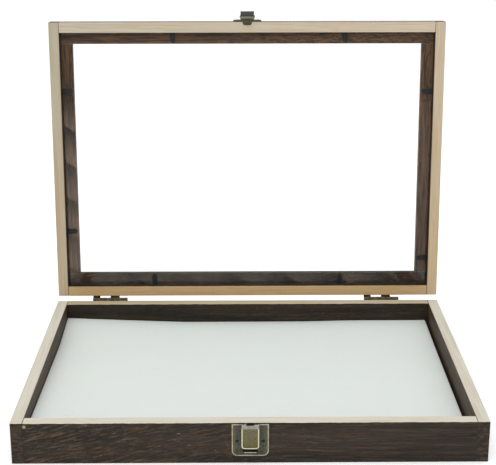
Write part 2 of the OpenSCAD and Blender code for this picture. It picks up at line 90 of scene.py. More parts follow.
class Tree:
    """Builds the nodes of one material."""

    def __init__(self, name):
        self.material = bpy.data.materials.new(name)
        self.material.use_nodes = True
        self.nodes = self.material.node_tree.nodes
        self.links = self.material.node_tree.links
        self.nodes.clear()
        coords = self.nodes.new("ShaderNodeTexCoord")
        self.place = coords.outputs["Object"]

    def put(self, socket, value):
        """Links an output to a socket, or sets a plain value on it."""
        if isinstance(value, bpy.types.NodeSocket):
            self.links.new(value, socket)
        else:
            socket.default_value = value

    def math(self, operation, a, b=0.0):
        """One operation on one or two numbers."""
        node = self.nodes.new("ShaderNodeMath")
        node.operation = operation
        self.put(node.inputs[0], a)
        self.put(node.inputs[1], b)
        return node.outputs[0]

    def vector(self, operation, a, b):
        """One operation on two vectors."""
        node = self.nodes.new("ShaderNodeVectorMath")
        node.operation = operation
        self.put(node.inputs[0], a)
        self.put(node.inputs[1], b)
        return node.outputs[0]

    def distance(self, a, b):
        """How far apart two points are."""
        node = self.nodes.new("ShaderNodeVectorMath")
        node.operation = "DISTANCE"
        self.put(node.inputs[0], a)
        self.put(node.inputs[1], b)
        return node.outputs["Value"]

    def blend(self, share, a, b):
        """The number a where share is 0, and b where it is 1."""
        return self.math("ADD", a, self.math("MULTIPLY", share, self.math("SUBTRACT", b, a)))

    def split(self, vector):
        """The three numbers of a vector."""
        node = self.nodes.new("ShaderNodeSeparateXYZ")
        self.put(node.inputs[0], vector)
        return node.outputs[0], node.outputs[1], node.outputs[2]

    def join(self, x, y, z):
        """A vector from three numbers."""
        node = self.nodes.new("ShaderNodeCombineXYZ")
        for socket, value in zip(node.inputs, (x, y, z)):
            self.put(socket, value)
        return node.outputs[0]

    def turned(self, vector, axis, centre, angle):
        """The vector turned about an axis through centre."""
        node = self.nodes.new("ShaderNodeVectorRotate")
        node.rotation_type = axis
        self.put(node.inputs["Vector"], vector)
        self.put(node.inputs["Center"], centre)
        self.put(node.inputs["Angle"], angle)
        return node.outputs[0]

    def noise(self, at, sizes, detail=2.0, roughness=0.5, distortion=0.0):
        """Noise whose features have about these sizes, in metres along X, Y and Z."""
        scaled = self.vector("MULTIPLY", at, tuple(1 / s for s in sizes))
        node = self.nodes.new("ShaderNodeTexNoise")
        self.put(node.inputs["Vector"], scaled)
        self.put(node.inputs["Scale"], 1.0)
        self.put(node.inputs["Detail"], detail)
        self.put(node.inputs["Roughness"], roughness)
        self.put(node.inputs["Distortion"], distortion)
        return node.outputs[0]

    def span(self, value, low, high, to_low=0.0, to_high=1.0):
        """value from low..high mapped smoothly onto to_low..to_high."""
        node = self.nodes.new("ShaderNodeMapRange")
        node.interpolation_type = "SMOOTHSTEP"
        for socket, number in zip(node.inputs, (value, low, high, to_low, to_high)):
            self.put(socket, number)
        return node.outputs[0]

    def mix(self, share, a, b, blend="MIX"):
        """The colour a where share is 0, and b, or b blended over a, where it is 1."""
        node = self.nodes.new("ShaderNodeMix")
        node.data_type = "RGBA"
        node.blend_type = blend
        colours = [s for s in node.inputs if s.type == "RGBA"]
        self.put(node.inputs[0], share)
        self.put(colours[0], a if isinstance(a, bpy.types.NodeSocket) else (*a, 1))
        self.put(colours[1], b if isinstance(b, bpy.types.NodeSocket) else (*b, 1))
        return next(s for s in node.outputs if s.type == "RGBA")

    def bump(self, height, distance, strength=1.0):
        """A normal for a relief whose heights from 0 to 1 are distance metres apart."""
        node = self.nodes.new("ShaderNodeBump")
        self.put(node.inputs["Height"], height)
        self.put(node.inputs["Distance"], distance)
        self.put(node.inputs["Strength"], strength)
        return node.outputs[0]

    def finish(self, **sockets):
        """Ends the tree in one Principled shader; names use _ for spaces."""
        shader = self.nodes.new("ShaderNodeBsdfPrincipled")
        for name, value in sockets.items():
            self.put(shader.inputs[name.replace("_", " ")], value)
        output = self.nodes.new("ShaderNodeOutputMaterial")
        self.links.new(shader.outputs[0], output.inputs[0])
        return self.material


def srgb(r, g, b):
    """A colour given in 0..255 display numbers, as linear light."""
    return tuple(((c / 255 + 0.055) / 1.055) ** 2.4 if c > 10 else c / 3295 for c in (r, g, b))


# ------------------------------------------------------------------ wood

STAIN_DARK = srgb(32, 25, 19)
STAIN_MID = srgb(49, 39, 30)
STREAK_BROWN = srgb(100, 74, 50)
STREAK_GREY = srgb(84, 75, 62)
FLECK = srgb(150, 136, 112)
PORE = srgb(26, 23, 20)
LIP_TINT = srgb(112, 78, 48)
END_DARK = srgb(36, 30, 24)
END_PALE = srgb(74, 57, 42)
INNER_TINT = srgb(94, 77, 60)
BARE_PALE = srgb(214, 208, 193)
BARE_LINE = srgb(194, 181, 158)
BARE_PINK = srgb(212, 190, 168)
JOINT_LINE = srgb(104, 92, 76)
BOARD_DARK = srgb(132, 104, 76)
BOARD_PALE = srgb(168, 138, 104)
BOARD_BLOTCH = srgb(110, 84, 60)

# How far the short streaks lean from the grain, in degrees.
FLAME_SLANT = 13


def grain_space(t, case, along_y, seed, wander):
    """Coordinates with X along the grain, whose fibres wander over a width of about
    wander[0] at the low end and wander[1] at the high end."""
    grain = t.turned(case, "Z_AXIS", (0, 0, 0), math.radians(-90)) if along_y else case
    reach = OUTER_Y if along_y else OUTER_X
    along, _, _ = t.split(grain)
    amount = t.span(along, -reach, reach, wander[0], wander[1])
    shifted = t.vector("ADD", grain, (seed, 1.7 * seed, 0.6 * seed))
    sway = t.noise(shifted, (70 * MM, 22 * MM, 22 * MM), detail=1.5)
    side = t.math("MULTIPLY", t.math("SUBTRACT", sway, 0.5), amount)
    return t.vector("ADD", shifted, t.join(0.0, side, side))


def bare_colour(t, grain, low_tone, high_tone, share):
    """Pale unfinished wood with fine lines along the grain, times a tone that goes from
    one end of the piece to the other with share."""
    lines = t.noise(grain, (60 * MM, 0.8 * MM, 0.8 * MM), detail=3.0)
    bands = t.noise(grain, (90 * MM, 5 * MM, 5 * MM), detail=1.0)
    patches = t.noise(grain, (26 * MM, 9 * MM, 9 * MM), detail=2.0)
    colour = t.mix(t.span(lines, 0.42, 0.74, 0, 0.7), BARE_PALE, BARE_LINE)
    colour = t.mix(t.span(bands, 0.5, 0.78, 0, 0.45), colour, BARE_LINE)
    colour = t.mix(t.span(patches, 0.56, 0.76, 0, 0.5), colour, BARE_PINK)
    return t.mix(1.0, colour, t.mix(share, low_tone, high_tone), "MULTIPLY")


def stain_colour(t, grain, figure, flame):
    """Dark stained wood: brown and grey streaks over near black. figure is how much the
    streaks show, and flame how far they turn from long and straight to short and slanted."""
    slanted = t.turned(grain, "Y_AXIS", (0, 0, 0), math.radians(FLAME_SLANT))
    broad = t.noise(grain, (130 * MM, 8 * MM, 8 * MM), detail=2.0)
    long = t.noise(grain, (34 * MM, 1.2 * MM, 1.2 * MM), detail=3.0, roughness=0.6)
    long = t.math("ADD", t.math("MULTIPLY", long, 1.3), -0.15)
    short = t.noise(slanted, (14 * MM, 1.5 * MM, 1.5 * MM), detail=3.0, roughness=0.6)
    streak = t.blend(flame, long, short)
    thin = t.noise(slanted, (7 * MM, 0.6 * MM, 0.6 * MM), detail=2.0)
    flecks = t.noise(slanted, (5 * MM, 0.5 * MM, 0.5 * MM), detail=1.0)
    hue = t.noise(grain, (30 * MM, 7 * MM, 7 * MM), detail=1.0)
    pores = t.noise(grain, (8 * MM, 0.45 * MM, 0.45 * MM), detail=1.0)
    colour = t.mix(t.span(broad, 0.32, 0.66), STAIN_DARK, STAIN_MID)
    warm = t.math("SUBTRACT", hue, t.math("MULTIPLY", flame, 0.12))
    streaked = t.mix(t.span(warm, 0.32, 0.48), STREAK_BROWN, STREAK_GREY)
    share = t.math("MULTIPLY", t.span(streak, 0.46, 0.74), figure)
    colour = t.mix(share, colour, streaked)
    share = t.math("MULTIPLY", t.span(thin, 0.56, 0.78, 0, 0.6), figure)
    colour = t.mix(share, colour, streaked)
    share = t.math("MULTIPLY", t.span(flecks, 0.68, 0.78, 0, 0.6), flame)
    colour = t.mix(share, colour, FLECK)
    colour = t.mix(t.span(pores, 0.58, 0.70, 0, 0.8), colour, PORE)
    return colour, streak, pores


def end_colour(t, case):
    """End grain under the stain: short dark and brown streaks across the piece."""
    rings = t.noise(case, (7 * MM, 40 * MM, 1.4 * MM), detail=3.0)
    dots = t.noise(case, (0.8 * MM, 40 * MM, 0.8 * MM), detail=1.0)
    colour = t.mix(t.span(rings, 0.38, 0.68), END_DARK, END_PALE)
    return t.mix(t.span(dots, 0.5, 0.7, 0, 0.6), colour, PORE)


def marked(t, colour, marks):
    """The colour with small round marks: (point in metres, radius in metres, colour)."""
    for point, radius, mark in marks:
        away = t.distance(t.place, point)
        colour = t.mix(t.span(away, 1.4 * radius, 0.6 * radius), colour, mark)
    return colour


def inner_share(t, x, y):
    """1 between the walls' inner faces and on them, and 0 outside."""
    inside_x = t.math("LESS_THAN", t.math("ABSOLUTE", x), INNER_X + FACE_SLACK)
    inside_y = t.math("LESS_THAN", t.math("ABSOLUTE", y), INNER_Y + FACE_SLACK)
    return t.math("MULTIPLY", inside_x, inside_y)


def worn_inside(t, grain, stain, inside):
    """The stain with paler streaks on the inner faces."""
    worn = t.noise(grain, (40 * MM, 3 * MM, 3 * MM), detail=4.0, roughness=0.6)
    share = t.math("MULTIPLY", inside, t.span(worn, 0.3, 0.7, 0.15, 0.75))
    return t.mix(share, stain, INNER_TINT)


def end_grained(t, case, y, stain):
    """The stain with end grain on the front and back ends of a side wall."""
    past_end = t.math("SUBTRACT", t.math("ABSOLUTE", y), OUTER_Y)
    return t.mix(t.span(past_end, -0.6 * MM, -0.3 * MM), stain, end_colour(t, case))


def reddish_lip(t, stain, streak, on_lip, lip):
    """The stain turned reddish on the lid's lip, most in its pale streaks."""
    reddish = t.span(streak, 0.40, 0.60, 0.2 * lip, 1.4 * lip)
    return t.mix(t.math("MULTIPLY", on_lip, reddish), stain, LIP_TINT)


def bare_share(t, case, from_seam):
    """1 near the seam face, and 0 past a slightly uneven line around it."""
    wobble = t.noise(case, (6 * MM, 6 * MM, 6 * MM), detail=3.0)
    edge = t.math("MULTIPLY", wobble, 0.7 * MM)
    return t.span(t.math("SUBTRACT", from_seam, edge), -0.1 * MM, 0.1 * MM, 1, 0)


def jointed(t, colour, x):
    """The colour with a thin line where side walls and cross walls meet."""
    from_joint = t.math("ABSOLUTE", t.math("SUBTRACT", t.math("ABSOLUTE", x), INNER_X))
    return t.mix(t.span(from_joint, 0.5 * MM, 0.2 * MM, 0, 0.8), colour, JOINT_LINE)


def lacquer(t, bare, inside, coat):
    """The shader's coat inputs, for lacquer on the outer stained faces only."""
    stained = t.math("SUBTRACT", 1.0, t.math("MAXIMUM", bare, inside))
    return {
        "Coat_Weight": t.math("MULTIPLY", stained, coat),
        "Coat_Roughness": 0.2,
        "Coat_IOR": 1.2,
    }


def stained_wood(name, lid=False, along_y=False, seed=0.0, wander=(3, 3), figure=(0.8, 0.8),
                 flame=(0.3, 0.3), tones=((1, 1, 1), (1, 1, 1)), lip=0.5, coat=0.0, marks=()):
    """Stained wood that is bare on the seam face. wander in millimetres, figure, flame and
    tones, which multiply the bare wood, are given at the low and high end of the piece.
    lip is how reddish the lid's lip is, and coat the lacquer on the outer stained faces."""
    t = Tree(name)
    case = t.turned(t.place, "X_AXIS", HINGE_AT, OPEN_ANGLE) if lid else t.place
    x, y, z = t.split(case)
    grain = grain_space(t, case, along_y, seed, [w * MM for w in wander])
    reach = OUTER_Y if along_y else OUTER_X
    along = y if along_y else x
    inside = inner_share(t, x, y)
    rabbet = inside
    if lid:
        lip_level = t.math("GREATER_THAN", z, LIP_FACE_Z - FACE_SLACK)
        on_lip = t.math("MULTIPLY", inside, lip_level)
        rabbet = t.math("SUBTRACT", inside, on_lip)
    shown = t.span(along, -reach, reach, *figure)
    shown = t.math("MULTIPLY", shown, t.span(rabbet, 0, 1, 1.0, 0.5))
    slant = t.span(along, -0.6 * reach, 0.6 * reach, *flame)
    stain, streak, pores = stain_colour(t, grain, shown, slant)
    if lid:
        stain = reddish_lip(t, stain, streak, on_lip, lip)
    elif along_y:
        stain = end_grained(t, case, y, worn_inside(t, grain, stain, inside))
    from_seam = t.math("SUBTRACT", z, SEAM_Z) if lid else t.math("SUBTRACT", RIM_Z, z)
    bare = bare_share(t, case, from_seam)
    bare_wood = bare_colour(t, grain, *tones, t.span(along, -reach, reach))
    stained_rough = t.mix(streak, (0.5,) * 3, (0.68,) * 3)
    height = t.math("ADD", streak, t.math("MULTIPLY", pores, -0.6))
    return t.finish(
        Base_Color=t.mix(bare, marked(t, stain, marks), jointed(t, bare_wood, x)),
        Roughness=t.mix(bare, stained_rough, (0.8,) * 3),
        Normal=t.bump(height, 0.12 * MM, 0.7),
        Specular_IOR_Level=0.22,
        **(lacquer(t, bare, inside, coat) if coat else {}),
    )


def panel_board():
    """Brown hardboard with fine fibres, seen from below."""
    t = Tree("panel_board")
    fibres = t.noise(t.place, (5 * MM, 0.9 * MM, 1 * MM), detail=4.0, distortion=1.5)
    blotches = t.noise(t.place, (30 * MM, 30 * MM, 30 * MM), detail=3.0)
    colour = t.mix(t.span(fibres, 0.35, 0.7), BOARD_DARK, BOARD_PALE)
    colour = t.mix(t.span(blotches, 0.5, 0.75, 0, 0.4), colour, BOARD_BLOTCH)
    return t.finish(
        Base_Color=colour,
        Roughness=t.span(fibres, 0.3, 0.7, 0.7, 0.9),
        Normal=t.bump(fibres, 0.1 * MM),
        Specular_IOR_Level=0.3,
    )


# ------------------------------------------------------------------ other materials

# The plate's grey patina beside the lever is also darkened as painted shade.
PATINA_GREY_SHADED = srgb(70, 69, 64)
PATINA_OLIVE = srgb(84, 84, 60)
# The speck colour below is also used as painted shade on the lever's sides.
PATINA_SPECK_AND_SHADE = srgb(40, 42, 34)
PLATE_NEAR_SHADED = srgb(78, 78, 72)
PLATE_FAR = srgb(92, 92, 68)
DULL_RIM = srgb(144, 139, 119)
# The plate rim's pale colour is partly worn brass and partly a painted highlight.
WORN_RIM_HIGHLIGHT = srgb(180, 173, 152)
LEVER_RIM = srgb(200, 193, 164)
# The lever roll's two pale greys are a painted highlight.
LEVER_ROLL_HIGHLIGHT = srgb(156, 152, 142)
LEVER_ROLL_HIGHLIGHT_DULL = srgb(132, 128, 118)
LEVER_GREY = srgb(98, 94, 78)
LEVER_OLIVE = srgb(106, 102, 66)
LEVER_LOW = srgb(96, 86, 50)
LEVER_SPECK = srgb(66, 64, 44)
CATCH_PLATE = (srgb(84, 79, 58), srgb(100, 96, 78))
# The catch's bead colour is a painted highlight and its crease colour a painted shadow.
CATCH_BEAD_HIGHLIGHT = srgb(128, 125, 108)
CATCH_CREASE_SHADOW = srgb(56, 55, 48)
CATCH_HOOD = srgb(80, 79, 74)
CATCH_EDGE = srgb(112, 110, 102)
HINGE_BROWN = srgb(64, 54, 38)
HINGE_WORN = srgb(118, 106, 80)
SMALL_DARK = srgb(30, 33, 24)
SMALL_PALE = srgb(46, 48, 36)
STEEL_DARK = srgb(150, 148, 142)
STEEL_PALE = srgb(186, 184, 178)
OXIDE_DARK = srgb(17, 17, 18)
OXIDE_PALE = srgb(32, 32, 35)


def metal(t, colour, rough_noise, low, high, bump_distance):
    """The end of a metal's tree: colour from nodes and roughness from a noise."""
    return t.finish(
        Base_Color=colour,
        Metallic=0.75,
        Roughness=t.span(rough_noise, 0.35, 0.7, low, high),
        Normal=t.bump(rough_noise, bump_distance, 0.6),
        Specular_IOR_Level=0.5,
    )


def patina(t, one, other):
    """A mottled mix of two patina colours with dark specks, and the mottling's noise."""
    mottle = t.noise(t.place, (4 * MM,) * 3, detail=4.0, roughness=0.65)
    speck = t.noise(t.place, (1.3 * MM,) * 3, detail=3.0)
    colour = t.mix(t.span(mottle, 0.38, 0.66), one, other)
    colour = t.mix(t.span(speck, 0.5, 0.68, 0, 0.7), colour, PATINA_SPECK_AND_SHADE)
    return colour, mottle


def aged_brass(name, one, other):
    """Plain aged brass, mottled with two colours."""
    t = Tree(name)
    colour, mottle = patina(t, one, other)
    return metal(t, colour, mottle, 0.34, 0.55, 0.03 * MM)


def plate_brass():
    """The clasp's base plate: grey beside the lever and darkened there as painted shade, olive
    further out, with a rim that is worn and made paler as a painted highlight.
    """
    t = Tree("brass_plate")
    x, y, _ = t.split(t.place)
    out = t.math("SUBTRACT", -OUTER_Y, y)
    # Grey patina beside the lever, darkened as painted shade from the lever.
    near, mottle = patina(t, PATINA_GREY_SHADED, PLATE_NEAR_SHADED)
    far, _ = patina(t, PATINA_OLIVE, PLATE_FAR)
    side = t.math("ADD", t.math("ABSOLUTE", x), t.math("MULTIPLY", mottle, 3 * MM))
    colour = t.mix(t.span(side, 11.5 * MM, 14.5 * MM), near, far)
    # The raised rim: worn brass, made paler as a painted highlight.
    rim = t.mix(t.span(mottle, 0.35, 0.65), DULL_RIM, WORN_RIM_HIGHLIGHT)
    colour = t.mix(t.span(out, 0.8 * MM, 1.0 * MM), colour, rim)
    return metal(t, colour, mottle, 0.34, 0.55, 0.03 * MM)


def lever_brass():
    """The lever: a dull panel, darker at its foot, with bright rims, a grey roll given a
    painted highlight, and painted shade on its sides next to the plate.
    """
    t = Tree("brass_lever")
    _, y, z = t.split(t.place)
    out = t.math("SUBTRACT", -OUTER_Y, y)
    middle_z = (LEVER_LO.z + LEVER_HI.z) / 2
    _, mottle = patina(t, LEVER_GREY, LEVER_OLIVE)
    squashed = t.vector("MULTIPLY", t.place, (1.0, 0.0, 0.7))
    away = t.distance(squashed, (0, 0, 0.7 * middle_z))
    cloud = t.noise(t.place, (2.6 * MM,) * 3, detail=4.0, roughness=0.7)
    away = t.math("ADD", away, t.math("MULTIPLY", cloud, 9 * MM))
    colour = t.mix(t.span(away, 4 * MM, 11 * MM), LEVER_GREY, LEVER_OLIVE)
    foot = t.span(z, middle_z - 2 * MM, LEVER_LO.z + 1 * MM)
    colour = t.mix(t.math("MULTIPLY", foot, 0.8), colour, LEVER_LOW)
    speck = t.noise(t.place, (1.1 * MM,) * 3, detail=3.0)
    colour = t.mix(t.span(speck, 0.48, 0.7, 0, 0.6), colour, LEVER_SPECK)
    colour = t.mix(t.span(out, 3.9 * MM, 4.15 * MM), colour, LEVER_RIM)
    # Painted highlight: the roll at the lever's top gets a pale grey band for the light it
    # catches from above.
    roll = t.span(z, LEVER_HI.z - 4.2 * MM, LEVER_HI.z - 3.4 * MM)
    roll_highlight = t.mix(t.span(mottle, 0.35, 0.65), LEVER_ROLL_HIGHLIGHT_DULL, LEVER_ROLL_HIGHLIGHT)
    colour = t.mix(roll, colour, roll_highlight)
    # Painted shade: the lever's sides next to the plate are darkened with the speck colour for
    # the shadow in the gap between them.
    cheek_shade = t.span(out, 2.9 * MM, 2.5 * MM)
    colour = t.mix(t.math("MULTIPLY", cheek_shade, t.math("SUBTRACT", 1.0, roll)), colour,
                   PATINA_SPECK_AND_SHADE)
    return metal(t, colour, mottle, 0.3, 0.5, 0.03 * MM)


def catch_brass():
    """The catch on the lid: a neutral hood, painted shadow in the crease below it, and a
    painted highlight on the bead below that.
    """
    t = Tree("brass_catch")
    case = t.turned(t.place, "X_AXIS", HINGE_AT, OPEN_ANGLE)
    _, y, _ = t.split(case)
    out = t.math("SUBTRACT", -OUTER_Y, y)
    colour, mottle = patina(t, *CATCH_PLATE)
    # Painted highlight on the bead's top, then painted shadow in the crease under the hood.
    colour = t.mix(t.span(out, 2.8 * MM, 3.4 * MM), colour, CATCH_BEAD_HIGHLIGHT)
    colour = t.mix(t.span(out, 4.9 * MM, 5.2 * MM), colour, CATCH_CREASE_SHADOW)
    colour = t.mix(t.span(out, 5.9 * MM, 6.3 * MM), colour, CATCH_HOOD)
    edge = CATCH_REACH - 0.5 * MM
    colour = t.mix(t.span(out, edge, edge + 0.3 * MM), colour, CATCH_EDGE)
    return metal(t, colour, mottle, 0.38, 0.6, 0.03 * MM)


def drawn_steel():
    """Steel wire and pins with fine marks."""
    t = Tree("drawn_steel")
    marks = t.noise(t.place, (0.4 * MM, 3 * MM, 3 * MM), detail=3.0)
    colour = t.mix(t.span(marks, 0.35, 0.7), STEEL_DARK, STEEL_PALE)
    return metal(t, colour, marks, 0.25, 0.45, 0.01 * MM)


def black_oxide():
    """Black spring steel, a little bluish where it is paler."""
    t = Tree("black_oxide")
    cloud = t.noise(t.place, (2.5 * MM,) * 3, detail=3.0)
    colour = t.mix(t.span(cloud, 0.35, 0.7), OXIDE_DARK, OXIDE_PALE)
    return t.finish(
        Base_Color=colour,
        Metallic=0.3,
        Roughness=t.span(cloud, 0.3, 0.7, 0.35, 0.6),
        Normal=t.bump(cloud, 0.02 * MM),
        Specular_IOR_Level=0.5,
    )


FOAM_DARK = srgb(219, 223, 218)
FOAM_PALE = srgb(229, 233, 228)
FOAM_BRUSHED = srgb(224, 230, 222)
FOAM_SOIL = srgb(208, 210, 202)


def pad_fabric():
    """Off-white foam with a short smooth nap."""
    t = Tree("pad_fabric")
    nap = t.noise(t.place, (0.5 * MM,) * 3, detail=3.0, roughness=0.7)
    brushed = t.noise(t.place, (55 * MM, 40 * MM, 40 * MM), detail=2.0)
    soil = t.noise(t.place, (9 * MM,) * 3, detail=4.0)
    colour = t.mix(t.span(nap, 0.35, 0.7), FOAM_DARK, FOAM_PALE)
    colour = t.mix(t.span(brushed, 0.4, 0.7, 0, 0.35), colour, FOAM_BRUSHED)
    colour = t.mix(t.span(soil, 0.62, 0.8, 0, 0.2), colour, FOAM_SOIL)
    return t.finish(
        Base_Color=colour,
        Roughness=t.span(nap, 0.3, 0.7, 0.85, 0.98),
        Normal=t.bump(nap, 0.12 * MM, 0.5),
        Sheen_Weight=0.25,
        Sheen_Roughness=0.5,
        Specular_IOR_Level=0.2,
    )


def clear_glass():
    """Clear float glass that lets lamp light through, with a little dust."""
    t = Tree("clear_glass")
    nodes = t.nodes
    dust = t.noise(t.place, (14 * MM,) * 3, detail=5.0, roughness=0.7)
    glass = nodes.new("ShaderNodeBsdfPrincipled")
    t.put(glass.inputs["Base Color"], (0.985, 0.995, 0.992, 1))
    t.put(glass.inputs["Roughness"], t.span(dust, 0.5, 0.8, 0.0, 0.02))
    t.put(glass.inputs["IOR"], 1.36)
    t.put(glass.inputs["Transmission Weight"], 1.0)
    clear = nodes.new("ShaderNodeBsdfTransparent")
    t.put(clear.inputs[0], (0.96, 0.975, 0.97, 1))
    path = nodes.new("ShaderNodeLightPath")
    both = nodes.new("ShaderNodeMixShader")
    shadow = path.outputs["Is Shadow Ray"]
    diffuse = path.outputs["Is Diffuse Ray"]
    t.put(both.inputs[0], t.math("MAXIMUM", shadow, diffuse))
    t.links.new(glass.outputs[0], both.inputs[1])
    t.links.new(clear.outputs[0], both.inputs[2])
    output = nodes.new("ShaderNodeOutputMaterial")
    t.links.new(both.outputs[0], output.inputs[0])
    return t.material


def backdrop_paper():
    """White studio paper with a little light of its own."""
    t = Tree("backdrop_paper")
    fibre = t.noise(t.place, (3 * MM,) * 3, detail=3.0)
    colour = t.mix(t.span(fibre, 0.3, 0.7), (0.96, 0.96, 0.96), (0.98, 0.98, 0.98))
    return t.finish(
        Base_Color=colour,
        Roughness=0.95,
        Normal=t.bump(fibre, 0.05 * MM),
        Specular_IOR_Level=0.1,
        Emission_Color=(1, 1, 1, 1),
        Emission_Strength=0.26,
    )


# ------------------------------------------------------------------ edges and finishes


def smooth_by_angle():
    """A node group that shades faces smooth, except over edges sharper than 40 degrees."""
    group = bpy.data.node_groups.new("smooth_by_angle", "GeometryNodeTree")
    group.interface.new_socket("Geometry", in_out="INPUT", socket_type="NodeSocketGeometry")
    group.interface.new_socket("Geometry", in_out="OUTPUT", socket_type="NodeSocketGeometry")
    nodes = group.nodes
    start = nodes.new("NodeGroupInput")
    end = nodes.new("NodeGroupOutput")
    angle = nodes.new("GeometryNodeInputMeshEdgeAngle")
    below = nodes.new("FunctionNodeCompare")
    below.operation = "LESS_THAN"
    below.inputs["B"].default_value = math.radians(40)
    faces = nodes.new("GeometryNodeSetShadeSmooth")
    edges = nodes.new("GeometryNodeSetShadeSmooth")
    edges.domain = "EDGE"
    group.links.new(start.outputs[0], faces.inputs["Geometry"])
    group.links.new(faces.outputs[0], edges.inputs["Geometry"])
    group.links.new(angle.outputs["Unsigned Angle"], below.inputs["A"])
    group.links.new(below.outputs[0], edges.inputs["Shade Smooth"])
    group.links.new(edges.outputs[0], end.inputs[0])
    return group


SMOOTH = smooth_by_angle()


def soften(obj, width):
    """Rounds a CAD node's sharp edges by a small width, and shades it smooth."""
    weld = obj.modifiers.new("weld", "WELD")
    weld.merge_threshold = 1e-6
    bevel = obj.modifiers.new("bevel", "BEVEL")
    bevel.width = width
    bevel.segments = 2
    bevel.limit_method = "ANGLE"
    bevel.angle_limit = math.radians(30)
    shade = obj.modifiers.new("shade", "NODES")
    shade.node_group = SMOOTH
    weighted = obj.modifiers.new("weighted", "WEIGHTED_NORMAL")
    weighted.keep_sharp = True


def dress(material, width, *names):
    """Gives CAD nodes a material and softened edges."""
    for name in names:
        obj = NODES[name]
        obj.data.materials.clear()
        obj.data.materials.append(material)
        if width:
            soften(obj, width)


# ------------------------------------------------------------------ the pad

PAD_RADIUS = 1.4 * MM
PAD_MIN = (-INNER_X + 0.2 * MM, -INNER_Y + 0.4 * MM)
PAD_MAX = (INNER_X - 2.6 * MM, INNER_Y - 0.2 * MM)
PAD_FOOT_Z = PAD_LO.z + 0.3 * MM
PAD_TUCK = 0.6 * MM
ROUND_STEPS = 5
FLAT_STEPS_X = 64
FLAT_STEPS_Y = 46

# How far parts of the pad's top stand above its level part, in millimetres.
CURL_RISE = 4.9
BOW_RISE = 1.2
FRONT_LEFT_RISE = 7.4
WAVE_RISE = 0.4


def ease(value, low, high):
    """0 below low, 1 above high, and smooth between."""
    share = min(1.0, max(0.0, (value - low) / (high - low)))
    return share * share * (3 - 2 * share)


def lift(x, y):
    """How far the pad's top stands above its level part, at x and y from -1 to 1."""
    at_back = ease(y, 0.45, 1.0)
    curled = CURL_RISE * max(0.0, (-x - 0.33) / 0.67) ** 1.15 * at_back
    bowed = BOW_RISE * ease(x, 0.25, 0.65) * at_back
    raised = FRONT_LEFT_RISE * ((1 - y) / 2) ** 1.5 * ease(-x, 0.74, 1.0)
    wave = WAVE_RISE * noise.noise(Vector((1.7 * x, 1.3 * y, 0.3)))
    return (curled + bowed + raised + wave) * MM


def steps(half, flat_steps):
    """Places from -half to half, close together where the edge is rounded."""
    turns = [math.radians(90 * i / ROUND_STEPS) for i in range(ROUND_STEPS)]
    low = [-half + PAD_RADIUS * (1 - math.cos(turn)) for turn in turns]
    inner = half - PAD_RADIUS
    flat = [-inner + 2 * inner * i / flat_steps for i in range(flat_steps + 1)]
    return low + flat + [-v for v in reversed(low)]


def pad_top_point(x, y, half_x, half_y):
    """A point of the pad's top, drawn in and down where its edge and corners are round."""
    dx = max(0.0, abs(x) - half_x + PAD_RADIUS)
    dy = max(0.0, abs(y) - half_y + PAD_RADIUS)
    far = max(dx, dy)
    pull = far / math.hypot(dx, dy) if dx and dy else 1.0
    drawn_x = x - math.copysign(dx * (1 - pull), x)
    drawn_y = y - math.copysign(dy * (1 - pull), y)
    drop = PAD_RADIUS - math.sqrt(max(0.0, PAD_RADIUS**2 - far**2))
    return Vector((drawn_x, drawn_y, PAD_HI.z + lift(x / half_x, y / half_y) - drop))


def pad_sides(mesh, ring, centre):
    """The pad's sides below the top's outline, tucked in at half height, and its underside."""
    for share in (0.5, 0.85, 1.0):
        below = []
        for v in ring:
            z = v.co.z + (PAD_FOOT_Z - v.co.z) * share
            pulled = v.co + (centre - v.co).normalized() * PAD_TUCK * math.sin(math.pi * share)
            below.append(mesh.verts.new((pulled.x, pulled.y, z)))
        for k in range(len(ring)):
            n = (k + 1) % len(ring)
            mesh.faces.new((ring[n], ring[k], below[k], below[n]))
        ring = below
    mesh.faces.new(list(reversed(ring)))


def pad_mesh():
    """The pad's closed mesh: a grid for the top, then the sides and the underside."""
    half_x = (PAD_MAX[0] - PAD_MIN[0]) / 2
    half_y = (PAD_MAX[1] - PAD_MIN[1]) / 2
    centre = Vector(((PAD_MIN[0] + PAD_MAX[0]) / 2, (PAD_MIN[1] + PAD_MAX[1]) / 2, 0))
    mesh = bmesh.new()
    grid = []
    for y in steps(half_y, FLAT_STEPS_Y):
        points = [pad_top_point(x, y, half_x, half_y) for x in steps(half_x, FLAT_STEPS_X)]
        grid.append([mesh.verts.new(centre + point) for point in points])
    for near, far in zip(grid, grid[1:]):
        for i in range(len(near) - 1):
            mesh.faces.new((near[i], near[i + 1], far[i + 1], far[i]))
    ring = grid[0][:-1] + [row[-1] for row in grid[:-1]]
    ring += grid[-1][:0:-1] + [row[0] for row in grid[:0:-1]]
    pad_sides(mesh, ring, centre)
    for face in mesh.faces:
        face.smooth = True
    return mesh


def soft_pad():
    """The foam pad: rounded edges, a slightly wavy top, a curled back left corner and a
    left edge that stands up at the front."""
    data = bpy.data.meshes.new("soft_pad")
    mesh = pad_mesh()
    mesh.to_mesh(data)
    mesh.free()
    pad = bpy.data.objects.new("soft_pad", data)
    bpy.context.scene.collection.objects.link(pad)
    data.materials.append(pad_fabric())
    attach(pad, "tray")
    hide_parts("display_pad")


# ------------------------------------------------------------------ stage, light, camera

FLOOR_HALF = 4.0
FLOOR_GAP = 0.1 * MM


def floor():
    """A large sheet of white paper under the case."""
    half = FLOOR_HALF
    data = bpy.data.meshes.new("floor")
    corners = [(-half, -half, 0), (half, -half, 0), (half, half, 0), (-half, half, 0)]
    data.from_pydata(corners, [], [(0, 1, 2, 3)])
    obj = bpy.data.objects.new("floor", data)
    obj.location.z = -FLOOR_GAP
    bpy.context.scene.collection.objects.link(obj)
    data.materials.append(backdrop_paper())


